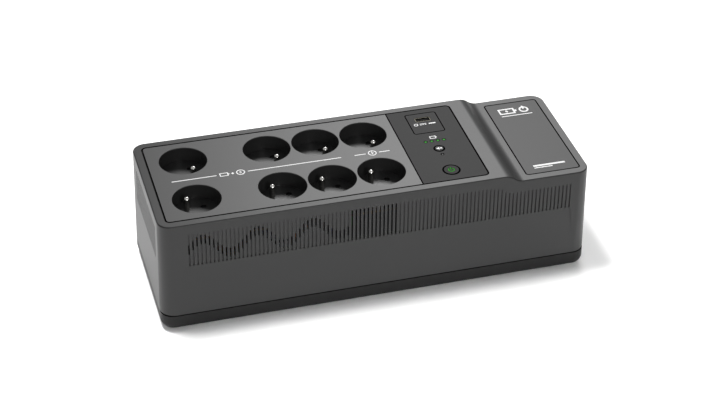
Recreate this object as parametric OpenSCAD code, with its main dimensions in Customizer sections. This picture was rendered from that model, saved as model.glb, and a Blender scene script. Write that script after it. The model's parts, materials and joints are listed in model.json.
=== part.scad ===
// Uninterruptible power supply: long flat case with eight recessed outlets on its top.
// Millimetres. +Z up, floor at z = 0, length along X, the long vented front faces -Y.

/* [Case] */
// Length of the case along its top edge
case_length = 365; // [362:0.5:460]
// Width of the case along its top edge
case_width = 126; // [124:0.5:160]
// Height from the floor to the top of the outlet deck
case_height = 104; // [102:0.5:130]
// How far the right end of the top lies below the outlet deck
step_drop = 6.3; // [4:0.1:9]
// Length of the curved ramp between the two levels
ramp_length = 17.4; // [12:0.1:24]
// Outward draft of the side walls per millimetre of depth
wall_draft = 0.02; // [0.005:0.005:0.03]
// Radius of the four vertical corners
corner_radius = 11; // [8:0.5:14]
// Wall thickness of the upper housing
wall = 2.6; // [2:0.1:3.4]
// Height of the seam between housing and base tray
seam_height = 16.7; // [14:0.1:20]

/* [Outlets] */
// Radius of an outlet well
well_radius = 20; // [18:0.1:20.2]
// Depth of an outlet well
well_depth = 13.5; // [12:0.1:15]
// Spacing of neighbouring wells in the group of six
well_pitch = 42; // [41.5:0.1:44]
// Distance from the left edge of the deck to the first wells
first_well = 30.4; // [26:0.1:34]
// Distance from the first wells to the group of six
group_offset = 71.3; // [64:0.1:80]
// Distance from the deck edge to the middle of a row of wells
row_inset = 27.5; // [26:0.1:30]
// Radius of a live or neutral pin hole
pin_hole = 2.6; // [2.4:0.05:3]
// Radius of an earth pin
earth_pin_radius = 2.4; // [2:0.05:2.5]
// How far the tip of an earth pin lies below the deck
pin_tip_drop = 2.2; // [1:0.1:4]
// Travel of an outlet shutter
shutter_travel = 6.2; // [5.5:0.1:7]

/* [Deck and controls] */
// Margin from the ends of the case to the deck seam
deck_margin = 7.3; // [6:0.1:9]
// Thickness of the outlet plate and the control panel
plate_thickness = 2.2; // [1.8:0.1:3]
// Width of the dark seam around the plates
seam_gap = 0.7; // [0.4:0.05:1]
// Length of the outlet plate
outlet_plate_length = 213.5; // [205:0.5:230]
// Length of the control panel
control_panel_length = 57.4; // [50:0.1:64]
// Radius of the power button cap
power_radius = 6.4; // [5:0.1:8]
// Radius of the mute button cap
mute_radius = 3.75; // [3:0.05:5]
// Ring gap around a button cap
button_gap = 0.95; // [0.3:0.05:1.1]
// Travel of the power button
power_travel = 1; // [0.5:0.1:1.4]
// Travel of the mute button
mute_travel = 0.8; // [0.4:0.1:1.2]

/* [Vents] */
// Spacing of the vent slots
vent_pitch = 3.376; // [3.1:0.002:3.5]
// Width of a vent slot
vent_width = 1.25; // [0.9:0.05:1.7]
// Number of slots along a long side
vent_count = 97; // [60:1:100]
// Number of slots on an end
end_vent_count = 26; // [15:1:28]
// Depth of a blind vent groove
groove_depth = 1.0; // [0.6:0.1:1.4]

/* [Battery] */
// Length of the battery block
battery_length = 151; // [120:0.5:152]
// Size of the battery block across the case
battery_width = 94; // [80:0.5:96]
// Height of the battery block as it lies
battery_height = 65; // [48:0.5:66]
// Travel of the battery door
door_travel = 10; // [6:0.5:12]

/* [Hidden] */
$fn = 96;
e = 0.01;

H = case_height;
L = case_length;
W = case_width;
foot = 1.7;                       // height of the rubber feet below the tray
ledge = 1.6;                      // thickness of the ledge that carries the plates
floor_top = 4.5;                  // inside floor of the tray
deck_x0 = -L/2 + deck_margin;
deck_y = W/2 - deck_margin + 0.2;
seam_x = deck_x0 + outlet_plate_length;
deck_x1 = seam_x + control_panel_length;
ramp_x1 = L/2 - 58.5;
ramp_x0 = ramp_x1 - ramp_length;
low = H - step_drop;              // height of the lowered right end
ramp_r = (ramp_length*ramp_length + step_drop*step_drop)/(4*step_drop);

// wells: column and row of each of the eight outlets, row -1 is the front one
cols = [deck_x0 + first_well, deck_x0 + first_well + group_offset,
        deck_x0 + first_well + group_offset + well_pitch,
        deck_x0 + first_well + group_offset + 2*well_pitch];
row_y = deck_y - row_inset;
cup = 0.85;                        // wall of an outlet cup
cup_r = well_radius + cup;
well_z = H - well_depth;          // floor of a well, upper face
cup_floor = 1.5;
chamber_top = well_z - cup_floor;
chamber = 2.2;                    // height of the shutter chamber
carrier_z = chamber_top - chamber;
carrier_h = 14;
bus_z = carrier_z - carrier_h;    // upper face of the bus strips
bus_t = 0.8;
hole_d = 9.5*sqrt(0.5);           // pin hole offset along X and Y
pin_d = 10*sqrt(0.5);

// battery and boards
bat_x1 = L/2 - 33.5;
bat_x0 = bat_x1 - battery_length;
bat_y0 = -48;
bat_z0 = 4.3;
tr_x = -L/2 + 57;                 // middle of the transformer
mb_x0 = tr_x + 37.5;
mb_x1 = mb_x0 + 78;
mb_y = 48;
mb_z = 11.5;
mb_t = 1.6;
cb_z = H - 10;                    // upper face of the control board
cb_x = (seam_x + deck_x1)/2;      // middle of the control column
power_y = -41;
mute_y = -7.8;
post_y = W/2 - 6.5;
post_x = [-L/2 + 20, -L/2 + 140, L/2 - 20];
post_top = 58;
boss_top = 9.5;
foot_x = L/2 - 14;
foot_y = W/2 - 19;
usb_y = 33.4;
insert_w = 13.75;                 // half width of the recess for the charging insert

// ---------- helpers ----------
module rrect(x0, x1, y0, y1, r) {
  translate([x0 + r, y0]) square([x1 - x0 - 2*r, y1 - y0]);
  translate([x0, y0 + r]) square([x1 - x0, y1 - y0 - 2*r]);
  for (x = [x0 + r, x1 - r]) for (y = [y0 + r, y1 - r]) translate([x, y]) circle(r);
}
module rbox(x0, x1, y0, y1, z0, z1, r) {
  translate([0, 0, z0]) linear_extrude(height = z1 - z0) rrect(x0, x1, y0, y1, r);
}
module box(x0, x1, y0, y1, z0, z1) {
  translate([x0, y0, z0]) cube([x1 - x0, y1 - y0, z1 - z0]);
}
module rod(x, y, z0, z1, r) { translate([x, y, z0]) cylinder(h = z1 - z0, r = r); }

// drafted box with round vertical corners, sizes taken at the top z1
module side_profile(r, z0, z1) {
  polygon([[0, z0], [r + wall_draft*(z1 - z0), z0], [r, z1], [0, z1]]);
}
module drafted(l, w, r, z0, z1) {
  g = wall_draft*(z1 - z0);
  rotate([90, 0, 90]) linear_extrude(height = l - 2*r, center = true)
    polygon([[-w/2 - g, z0], [w/2 + g, z0], [w/2, z1], [-w/2, z1]]);
  for (s = [0, 180]) rotate([0, 0, s]) {
    translate([l/2 - r, 0, 0]) rotate([90, 0, 0]) linear_extrude(height = w - 2*r, center = true)
      side_profile(r, z0, z1);
    translate([l/2 - r, w/2 - r, 0]) rotate_extrude(angle = 90) side_profile(r, z0, z1);
    translate([l/2 - r, r - w/2, 0]) rotate([0, 0, -90]) rotate_extrude(angle = 90)
      side_profile(r, z0, z1);
  }
}
// the same box with a round bottom edge of radius b
module edge_profile(r, z0, z1, b) {
  g = wall_draft*(z1 - z0 - b);
  polygon([[0, z0 + b], [r + g, z0 + b], [r, z1], [0, z1]]);
  square_from(0, r + g - b, z0, z0 + b);
  translate([r + g - b, z0 + b]) intersection() { circle(b); square_from(0, b, -b, 0); }
}
module square_from(x0, x1, y0, y1) { translate([x0, y0]) square([x1 - x0, y1 - y0]); }
module tub(l, w, r, z0, z1, b) {
  box(-l/2 + r, l/2 - r, -w/2 + r, w/2 - r, z0, z1);
  for (s = [0, 180]) rotate([0, 0, s]) {
    translate([0, w/2 - r, 0]) rotate([90, 0, 90]) linear_extrude(height = l - 2*r, center = true)
      edge_profile(r, z0, z1, b);
    translate([l/2 - r, 0, 0]) rotate([90, 0, 0]) linear_extrude(height = w - 2*r, center = true)
      edge_profile(r, z0, z1, b);
    translate([l/2 - r, w/2 - r, 0]) rotate_extrude(angle = 90) edge_profile(r, z0, z1, b);
    translate([l/2 - r, r - w/2, 0]) rotate([0, 0, -90]) rotate_extrude(angle = 90)
      edge_profile(r, z0, z1, b);
  }
}
// area below the stepped top line, lowered by t, from x0 to x1 and above z0
module below_top(x0, x1, z0, t) {
  k = (ramp_r - t)/(2*ramp_r);
  mx = ramp_x0 + k*ramp_length;
  mz = H - ramp_r + k*(2*ramp_r - step_drop);
  square_from(x0, ramp_x0, z0, H - t);
  square_from(ramp_x0 - e, x1, z0, low - t);
  translate([ramp_x0, H - ramp_r]) intersection() {
    circle(ramp_r - t);
    square_from(0, mx - ramp_x0, 0, ramp_r);
  }
  difference() {
    square_from(ramp_x0, ramp_x1, z0, mz);
    translate([ramp_x1, low + ramp_r]) circle(ramp_r + t);
  }
}
function top_at(x) = x < ramp_x0 ? H : x > ramp_x1 ? low :
  x < (ramp_x0 + ramp_x1)/2 ? H - ramp_r + sqrt(ramp_r*ramp_r - (x - ramp_x0)*(x - ramp_x0)) :
  low + ramp_r - sqrt(ramp_r*ramp_r - (ramp_x1 - x)*(ramp_x1 - x));
// repeat children at every well; $row is -1 in front and 1 behind, turned half a turn behind
module at_wells(from = 0, to = 3) {
  for (c = [from:to]) for (r = [-1, 1])
    translate([cols[c], r*row_y, 0]) rotate([0, 0, r > 0 ? 180 : 0]) children();
}
module stadium(w, h) {              // upright slot, w wide, from z = 0 to z = h
  square_from(-w/2, w/2, w/2, h - w/2);
  for (z = [w/2, h - w/2]) translate([0, z]) circle(w/2, $fn = 24);
}
vent_x0 = -(vent_count - 1)*vent_pitch/2 + 2.9;
vent_z0 = H - 39.5;
vent_lead = 9.5;                  // how far the drop of the vents runs ahead of the ramp
function vent_top(x) = top_at(x + vent_lead) - 9.4 - (x + vent_lead > ramp_x0 ? 1 : 0);
// this stretch of the front vents is cut right through
deep_from = floor(vent_count*0.415);
deep_to = floor(vent_count*0.54);
// to its left the slots are cut right through only along a waving band
band = 9;
function band_z(i) = vent_z0 + 10.5 + 8.5*sin(i*360/13.5);
module slot_y(x, z0, z1, y0, y1) {   // slot through the front or back wall
  translate([x, y1, z0]) rotate([90, 0, 0]) linear_extrude(height = y1 - y0)
    stadium(vent_width, z1 - z0);
}
module slot_x(y, z0, z1, x0, x1) {
  translate([x0, y, z0]) rotate([90, 0, 90]) linear_extrude(height = x1 - x0)
    stadium(vent_width, z1 - z0);
}
module vents() {
  for (i = [0:vent_count - 1]) {
    x = vent_x0 + i*vent_pitch;
    zt = vent_top(x);
    yo = W/2 + wall_draft*(H - vent_z0);
    slot_y(x, vent_z0, zt, W/2 - wall - 1, W/2 + 4);
    if (i >= deep_from && i < deep_to) slot_y(x, vent_z0, zt, -W/2 - 4, -W/2 + wall + 1);
    else slot_y(x, vent_z0, zt, -W/2 - 4, -yo + groove_depth + 0.2);
    if (i < deep_from)
      slot_y(x, band_z(i), band_z(i) + band, -W/2 - 4, -W/2 + wall + 1);
  }
  for (i = [0:end_vent_count - 1]) {
    y = (i - (end_vent_count - 1)/2)*vent_pitch - 1.9;
    slot_x(y, vent_z0, H - 9.4, -L/2 - 4, -L/2 + wall + 1);
    slot_x(y, vent_z0, low - 10.4, L/2 - wall - 1, L/2 + 4);
  }
}

// ---------- sub-parts ----------
// Charcoal upper shell: drafted walls, stepped top, plate recess, vents, screw posts.
module upper_housing() color([0.20, 0.20, 0.21]) {
  difference() {
    intersection() {
      drafted(L, W, corner_radius, seam_height, H);
      rotate([90, 0, 0]) linear_extrude(height = W + 40, center = true)
        below_top(-L/2 - 10, L/2 + 10, 0, 0);
    }
    // cavity
    intersection() {
      drafted(L - 2*wall, W - 2*wall, corner_radius - wall, seam_height - 1, H);
      rotate([90, 0, 0]) linear_extrude(height = W + 40, center = true)
        below_top(-L/2 - 10, L/2 + 10, 0, plate_thickness + ledge);
    }
    // recess and opening for the plates
    rbox(deck_x0, deck_x1, -deck_y, deck_y, H - plate_thickness, H + 1, 4);
    rbox(deck_x0 + 3, deck_x1 - 3, -deck_y + 3, deck_y - 3, H - 8, H + 1, 2);
    // recess for the trim plate
    rbox(L/2 - 54.4, L/2 - 6.7, -W/2 + 7.3, W/2 - 7.3, low - 1.3, low + 1, 2.6);
    vents();
    // openings in the right end
    translate([L/2 - 12, -38, 40]) rotate([0, 90, 0]) cylinder(h = 30, r = 5.2);
    translate([L/2 - 12, 0, 34]) rotate([0, 90, 0]) cylinder(h = 30, r = 6.2);
    box(L/2 - 12, L/2 + 20, 23, 39, 33, 47);
  }
  // posts for the case screws
  for (x = post_x) for (s = [-1, 1]) difference() {
    union() {
      rod(x, s*post_y, boss_top, post_top, 3.6);
      translate([x - 1, s > 0 ? post_y : -post_y - 6.2, seam_height + 4])
        cube([2, 6.2, post_top - seam_height - 4]);
    }
    rod(x, s*post_y, boss_top - 1, boss_top + 16, 1.5);
  }
  // flat pads inside the right end
  difference() {
    union() {
      box(L/2 - 5, L/2 - 0.2, -48, -28, 30, 50);
      box(L/2 - 5, L/2 - 0.2, -11, 11, 23, 45);
      box(L/2 - 5, L/2 - 0.2, 20, 42, 30, 50);
    }
    translate([L/2 - 12, -38, 40]) rotate([0, 90, 0]) cylinder(h = 30, r = 5.2);
    translate([L/2 - 12, 0, 34]) rotate([0, 90, 0]) cylinder(h = 30, r = 6.2);
    box(L/2 - 12, L/2 + 20, 23, 39, 33, 47);
  }
}

// Base tray: shallow tub with round lower edge, lip behind the dark seam, bosses, battery opening.
tray_l = L + 2*wall_draft*(H - seam_height);
tray_w = W + 2*wall_draft*(H - seam_height);
door_x0 = bat_x0 - 5;
door_x1 = bat_x1 + 2;
door_y0 = bat_y0 - 3;
door_y1 = bat_y0 + battery_width + 3;
function tongue_x(i) = door_x0 + 6 + i*(door_x1 - door_x0 - 22)/3;
module base_tray() color([0.16, 0.16, 0.17]) {
  difference() {
    union() {
      tub(tray_l - 0.6, tray_w - 0.6, corner_radius, foot, seam_height - 0.8, 6.5);
      rbox(-tray_l/2 + 1.2, tray_l/2 - 1.2, -tray_w/2 + 1.2, tray_w/2 - 1.2,
           seam_height - 2, seam_height, corner_radius - 1.2);
    }
    // inside of the tub
    rbox(-tray_l/2 + 4.4, tray_l/2 - 4.4, -tray_w/2 + 4.4, tray_w/2 - 4.4,
         floor_top, seam_height + 1, corner_radius - 4);
    // battery opening, and the rebate in which the door slides
    box(bat_x0, bat_x1, bat_y0, bat_y1, 0, floor_top + 5);
    box(door_x0 - 0.4, door_x1 + door_travel + 0.4, door_y0 - 0.3, door_y1 + 0.3, 0, foot + 2.4);
    for (i = [0:3]) box(tongue_x(i) - 0.4, tongue_x(i) + 9 + door_travel + 0.4,
                        door_y0 - 2, door_y1 + 2, 0, foot + 2.4);
    // pockets for the feet
    for (x = [-foot_x, foot_x]) for (y = [-foot_y, foot_y]) rod(x, y, 0, foot + 1, 6.5);
    // counterbores of the case screws
    for (x = post_x) for (y = [-post_y, post_y]) rod(x, y, 0, 5, 3.3);
  }
  for (x = post_x) for (y = [-post_y, post_y]) difference() {
    rod(x, y, floor_top - 1.5, boss_top, 4.6);
    rod(x, y, 0, 5, 3.3);
    rod(x, y, 0, boss_top + 1, 1.8);
  }
  // standoffs of the main board
  for (x = [mb_x0 + 5, mb_x1 - 5]) for (y = [-mb_y + 5, mb_y - 5]) difference() {
    rod(x, y, floor_top - e, mb_z, 3.2);
    rod(x, y, floor_top + 1, mb_z + 1, 1.2);
  }
  // raised rim and end ribs that hold the battery
  difference() {
    box(bat_x0 - 7, bat_x1 + 13, bat_y0 - 5.5, bat_y1 + 5.5, floor_top - 0.2, floor_top + 1.5);
    box(bat_x0, bat_x1, bat_y0, bat_y1, 0, floor_top + 5);
  }
  box(bat_x0 - 2, bat_x0, -40, 30, floor_top + 1.4, 16);
  box(bat_x1, bat_x1 + 2, -40, 30, floor_top + 1.4, 16);
  // short lips below the tongues of the door
  for (i = [0:3]) for (y = [door_y0 - 2.2, door_y1 + 0.3])
    box(tongue_x(i), tongue_x(i) + 9, y, y + 1.9, foot, foot + 1.1);
}

// Lighter grey plate around the eight wells, thin web at each rim, snap hooks below.
hook_z = H - plate_thickness - ledge - 0.1;   // catches sit just below the ledge
module outlet_plate() color([0.38, 0.38, 0.39]) {
  difference() {
    translate([0, 0, H - plate_thickness]) linear_extrude(height = plate_thickness) difference() {
      union() {
        rrect(deck_x0 + seam_gap, seam_x - 6, -deck_y + seam_gap, deck_y - seam_gap, 3.4);
        square_from(seam_x - 12, seam_x - 0.2, -deck_y + seam_gap, deck_y - seam_gap);
      }
      at_wells() circle(well_radius);
    }
    for (c = [0:3]) for (r = [-1, 1]) rod(cols[c], r*row_y, H - 5, H - 0.6, cup_r + 0.1);
  }
  for (x = [cols[0], (cols[0] + cols[1])/2, cols[2]]) for (s = [-1, 1]) {
    box(x - 4, x + 4, s > 0 ? deck_y - 4.4 : -deck_y + 3.1, s > 0 ? deck_y - 3.1 : -deck_y + 4.4,
        hook_z - 1.3, H - plate_thickness + e);
    box(x - 4, x + 4, s > 0 ? deck_y - 4.4 : -deck_y + 2, s > 0 ? deck_y - 2 : -deck_y + 4.4,
        hook_z - 1.9, hook_z);
  }
}

// Dark panel with the charging socket, status lights and buttons.
module control_panel() color([0.15, 0.15, 0.16]) {
  difference() {
    translate([0, 0, H - plate_thickness]) linear_extrude(height = plate_thickness) union() {
      rrect(seam_x + 6, deck_x1 - seam_gap, -deck_y + seam_gap, deck_y - seam_gap, 3.4);
      square_from(seam_x + 0.2, seam_x + 12, -deck_y + seam_gap, deck_y - seam_gap);
    }
    rbox(cb_x - insert_w, cb_x + insert_w, usb_y - 15.6, usb_y + 15.6, H - 1.2, H + 1, 2.2);
    rbox(cb_x - 10, cb_x + 10, usb_y - 12, usb_y + 12, H - 4, H + 1, 1.5);
    for (i = [-1.5:1:1.5]) rod(cb_x + i*5.4, 4.5, H - 4, H + 1, 1.5);
    rod(cb_x, mute_y, H - 4, H + 1, mute_radius + button_gap);
    rod(cb_x, -16.8, H - 4, H + 1, 1.3);
    rod(cb_x, power_y, H - 4, H + 1, power_radius + button_gap);
    rod(cb_x, power_y, H - 4, H - plate_thickness + 0.5, power_radius + 2.1);
    rod(cb_x, mute_y, H - 4, H - plate_thickness + 0.5, mute_radius + 2.1);
  }
  // posts that carry the control board
  for (x = [cb_x - 22, cb_x + 22]) for (y = [-46, 46]) difference() {
    rod(x, y, cb_z, H - plate_thickness + e, 3);
    rod(x, y, cb_z - 1, cb_z + 5, 1.1);
  }
}

// Plain plate let into the lowered end.
module trim_plate() color([0.27, 0.27, 0.28])
  rbox(L/2 - 54.0, L/2 - 7.1, -W/2 + 7.7, W/2 - 7.7, low - 1.3, low, 2.2);

// Black outlet cups, moulded in pairs, with a web from the front cup to the back one.
module socket_block(from, to) {
  difference() {
    union() {
      at_wells(from, to) rod(0, 0, carrier_z, H - 0.6, cup_r);
      for (c = [from:to]) box(cols[c] - 9, cols[c] + 9, -row_y, row_y, carrier_z, chamber_top + 0.8);
    }
    at_wells(from, to) {
      rod(0, 0, well_z, H, well_radius);
      rod(0, 0, carrier_z - 1, chamber_top, well_radius - 0.8);
      for (s = [-1, 1]) rod(s*hole_d, s*hole_d, chamber_top - 1, H, pin_hole);
      rod(-pin_d, pin_d, chamber_top - 1, H, earth_pin_radius);
    }
    for (c = [from:to]) rod(cols[c], 0, carrier_z - 1, H, 1.1);
  }
}
module socket_block_left() color([0.05, 0.05, 0.05]) socket_block(0, 0);
module socket_block_main() color([0.05, 0.05, 0.05]) socket_block(1, 3);

// Carriers closed against the cups from below, with a chamber for every contact.
module carrier(from, to) {
  difference() {
    union() {
      at_wells(from, to) rod(0, 0, carrier_z - 2, carrier_z, cup_r - 0.4);
      at_wells(from, to) {
        for (s = [-1, 1]) box(s*hole_d - 5, s*hole_d + 5, s*hole_d - 3.6, s*hole_d + 3.6,
                             bus_z, carrier_z - 1);
        rod(-pin_d, pin_d, bus_z, carrier_z - 1, 4);
      }
      box(cols[from] - 7, cols[to] + 7, -row_y, row_y, carrier_z - 2, carrier_z);
    }
    at_wells(from, to) {
      for (s = [-1, 1]) {
        box(s*hole_d - 4, s*hole_d + 4, s*hole_d - 2.6, s*hole_d + 2.6, bus_z - 1, carrier_z - 1.5);
        rod(s*hole_d, s*hole_d, bus_z, carrier_z + 1, pin_hole);
      }
      rod(-pin_d, pin_d, bus_z - 1, carrier_z + 1, earth_pin_radius);
    }
    for (c = [from:to]) rod(cols[c], 0, carrier_z - 5, carrier_z + 1, 1.4);
  }
}
module contact_carrier_left() color([0.72, 0.70, 0.64]) carrier(0, 0);
module contact_carrier_main() color([0.72, 0.70, 0.64]) carrier(1, 3);

// Eight bright earth pins with round tips.
module earth_pins() color([0.80, 0.80, 0.78]) at_wells() translate([-pin_d, pin_d, bus_z])
  rotate_extrude() {
    square_from(0, earth_pin_radius, 0, H - pin_tip_drop - earth_pin_radius - bus_z);
    translate([0, H - pin_tip_drop - earth_pin_radius - bus_z]) intersection() {
      circle(earth_pin_radius);
      square_from(0, earth_pin_radius, 0, earth_pin_radius);
    }
  }

// Contact strips below the carriers: a strip in front and one behind, joined at one end.
module strip(x0, x1, y, w) box(x0, x1, y - w/2, y + w/2, bus_z - bus_t, bus_z);
module tab(x, ya, yb) box(x - 2.5, x + 2.5, min(ya, yb), max(ya, yb), bus_z - bus_t, bus_z);
module clip_leaves() for (s = [-1, 1])
  box(s*2.5 - 0.3, s*2.5 + 0.3, -1.9, 1.9, bus_z - bus_t, bus_z + 11);
line_y = row_y - hole_d;
neut_y = row_y + hole_d;
module live_row(from, to, x0, x1) {
  for (c = [from:to]) for (r = [-1, 1]) {
    x = cols[c] - r*hole_d;
    translate([x, r*line_y, 0]) clip_leaves();
    tab(x, r*(line_y + 1.9), r*(line_y - 5));
  }
  for (r = [-1, 1]) strip(x0, x1, r*(line_y - 4.6), 2.8);
}
module live_bus_backup() color([0.78, 0.56, 0.28]) {
  live_row(0, 2, cols[0] - 9.5, cols[2] + 21.5);
  box(cols[2] + 18.5, cols[2] + 21.5, -line_y + 4.6, line_y - 4.6, bus_z - bus_t, bus_z);
}
module live_bus_surge() color([0.78, 0.56, 0.28]) {
  live_row(3, 3, cols[3] - 9.5, cols[3] + 14);
  box(cols[3] + 11, cols[3] + 14, -line_y + 4.6, line_y - 4.6, bus_z - bus_t, bus_z);
}
module neutral_bus() color([0.82, 0.60, 0.32]) {
  for (c = [0:3]) for (r = [-1, 1]) {
    x = cols[c] + r*hole_d;
    translate([x, r*neut_y, 0]) clip_leaves();
    tab(x, r*(neut_y - 1.9), r*(neut_y + 5));
  }
  for (r = [-1, 1]) strip(cols[0] - 9.5, cols[3] + 20, r*(neut_y + 4.4), 2.8);
  box(cols[3] + 17, cols[3] + 20, -neut_y - 4.4, neut_y + 4.4, bus_z - bus_t, bus_z);
}
module earth_bus() color([0.74, 0.74, 0.70]) {
  for (c = [0:3]) for (r = [-1, 1])
    tab(cols[c] + r*pin_d, r*(row_y - pin_d - 2.2), r*(row_y - 2));
  for (r = [-1, 1]) strip(cols[0] - 17, cols[3] + 10, r*(row_y - 1.9), 2.6);
  box(cols[0] - 17, cols[0] - 14, -row_y + 1.9, row_y - 1.9, bus_z - bus_t, bus_z);
}

// One sliding shutter below each well floor, closing both pin holes.
module shutter(n) {
  c = floor((n - 1)/2);
  r = n % 2 == 1 ? -1 : 1;
  color([0.10, 0.10, 0.10]) translate([cols[c], r*row_y, 0]) rotate([0, 0, r > 0 ? 225 : 45])
    difference() {
      rbox(-13, 13, -3.3, 3.3, carrier_z + 0.35, carrier_z + 1.85, 1.2);
      rbox(-5, 5, -1.4, 1.4, carrier_z, carrier_z + 3, 0.8);
    }
}
module shutter_1() shutter(1);
module shutter_2() shutter(2);
module shutter_3() shutter(3);
module shutter_4() shutter(4);
module shutter_5() shutter(5);
module shutter_6() shutter(6);
module shutter_7() shutter(7);
module shutter_8() shutter(8);

// Charging socket: insert plate, metal shell, tongue and contacts.
port_y = usb_y + 6;
module usb_insert() color([0.14, 0.14, 0.15]) difference() {
  union() {
    rbox(cb_x - insert_w + 0.4, cb_x + insert_w - 0.4, usb_y - 15.2, usb_y + 15.2, H - 1.2, H, 1.8);
    rbox(cb_x - 9.8, cb_x + 9.8, usb_y - 11.8, usb_y + 11.8, H - 3.4, H - 1, 1.3);
  }
  rbox(cb_x - 6.7, cb_x + 6.7, port_y - 3, port_y + 3, H - 5, H + 1, 0.6);
}
module usb_shell() color([0.78, 0.76, 0.70]) difference() {
  rbox(cb_x - 6.6, cb_x + 6.6, port_y - 2.9, port_y + 2.9, cb_z, H - 0.15, 0.6);
  rbox(cb_x - 6.25, cb_x + 6.25, port_y - 2.55, port_y + 2.55, cb_z + 1, H + 1, 0.3);
}
module usb_tongue() color([0.88, 0.88, 0.86]) {
  box(cb_x - 5.6, cb_x + 5.6, port_y + 0.2, port_y + 2.0, cb_z + 1, H - 1);
  box(cb_x - 6, cb_x + 6, port_y - 2.3, port_y + 2.3, cb_z + 1, cb_z + 2.4);
}
module usb_contacts() color([0.85, 0.68, 0.30])
  for (x = [-3.5, -1, 1, 3.5]) box(cb_x + x - 0.5, cb_x + x + 0.5, port_y - 0.05, port_y + 0.2,
                                   cb_z + 2.4, H - 1.6);

// Light guides of the four status lights on one bar, and the small alarm light.
module status_lenses() color([0.25, 0.75, 0.25]) {
  for (i = [-1.5:1:1.5]) rod(cb_x + i*5.4, 4.5, H - plate_thickness - 1, H - 0.1, 1.45);
  box(cb_x - 10, cb_x + 10, 2.8, 6.2, H - plate_thickness - 1.6, H - plate_thickness);
}
module alarm_lens() color([0.75, 0.75, 0.72]) {
  rod(cb_x, -16.8, H - plate_thickness - 2, H - 0.2, 0.7);
  rod(cb_x, -16.8, H - plate_thickness - 1.4, H - plate_thickness, 2);
}
module push_button(r) {
  rod(0, 0, H - plate_thickness - 0.8, H + 0.2, r);
  rod(0, 0, H - plate_thickness - 0.8, H - plate_thickness + 0.2, r + 1.7);
  rod(0, 0, cb_z + 4.6, H - plate_thickness, 1.8);
}
module mute_button() color([0.20, 0.20, 0.21]) translate([cb_x, mute_y, 0]) push_button(mute_radius);
module power_sign() {
  rotate([0, 0, 125]) rotate_extrude(angle = 290) square_from(2.0, 2.85, -0.6, 2);
  box(-0.42, 0.42, 0.4, 3.5, -0.6, 2);
}
module power_button() color([0.16, 0.16, 0.17]) translate([cb_x, power_y, 0]) difference() {
  push_button(power_radius);
  translate([0, 0, H]) power_sign();
}
module power_icon_lens() color([0.20, 0.80, 0.20]) translate([cb_x, power_y, H]) intersection() {
  power_sign();
  rod(0, 0, -2, 0.2, 5);
}

// Control board under the panel with its switches, lights and buzzer.
module control_board() color([0.10, 0.34, 0.16]) difference() {
  box(cb_x - 26, cb_x + 25, -50, 50, cb_z - 1.6, cb_z);
  for (x = [cb_x - 22, cb_x + 22]) for (y = [-46, 46]) rod(x, y, cb_z - 5, cb_z + 5, 1.6);
}
module tact_switches() color([0.24, 0.24, 0.25]) for (y = [mute_y, power_y]) {
  box(cb_x - 3, cb_x + 3, y - 3, y + 3, cb_z, cb_z + 2.4);
  rod(cb_x, y, cb_z + 2, cb_z + 3.2, 1.7);
}
module status_leds() color([0.90, 0.95, 0.85]) {
  for (i = [-1.5:1:1.5]) box(cb_x + i*5.4 - 1, cb_x + i*5.4 + 1, 3.8, 5.2, cb_z, cb_z + 1);
  box(cb_x - 1, cb_x + 1, -17.5, -16.1, cb_z, cb_z + 1);
  box(cb_x + 7, cb_x + 9, power_y - 0.7, power_y + 0.7, cb_z, cb_z + 1);
}
module buzzer() color([0.08, 0.08, 0.08]) difference() {
  rod(cb_x - 14, -28, cb_z - 10.1, cb_z - 1.6, 6);
  rod(cb_x - 14, -28, cb_z - 11, cb_z - 9, 1.2);
}

// Main board and the parts on it.
top_mb = mb_z + mb_t;
module main_board() color([0.12, 0.36, 0.18]) difference() {
  box(mb_x0, mb_x1, -mb_y, mb_y, mb_z, top_mb);
  for (x = [mb_x0 + 5, mb_x1 - 5]) for (y = [-mb_y + 5, mb_y - 5]) rod(x, y, 0, 30, 1.7);
}
module relays() color([0.12, 0.20, 0.42]) for (i = [0:3])
  box(mb_x0 + 7, mb_x0 + 26, -33 + i*17, -20 + i*17, top_mb, top_mb + 15.5);
module capacitors() color([0.14, 0.14, 0.18]) for (i = [0:2]) {
  rod(mb_x1 - 14, -30 + i*14, top_mb, top_mb + 24, 5.5);
}
module heat_sink() color([0.62, 0.63, 0.65]) translate([mb_x0 + 14, 36, top_mb]) {
  cube([50, 3, 32]);
  for (i = [0:9]) translate([0.5 + i*5.3, 2.9, 4]) cube([1.3, 7, 28]);
}
module power_transistors() color([0.07, 0.07, 0.07]) for (i = [0:3])
  translate([mb_x0 + 17 + i*11.5, 31.5, top_mb]) {
    cube([9.5, 4.5, 15]);
    translate([0, 3.2, 14.9]) cube([9.5, 1.3, 6]);
  }
module choke() color([0.72, 0.40, 0.16]) translate([mb_x0 + 42, 14, top_mb + 5.5]) rotate_extrude()
  translate([9, 0]) circle(5.5, $fn = 48);
module fuse() color([0.85, 0.82, 0.70]) translate([mb_x0 + 30, -26, top_mb]) {
  translate([0, -5, 0]) cube([24, 10, 3]);
  translate([1, 0, 6.4]) rotate([0, 90, 0]) cylinder(h = 22, r = 3.6);
}

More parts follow.
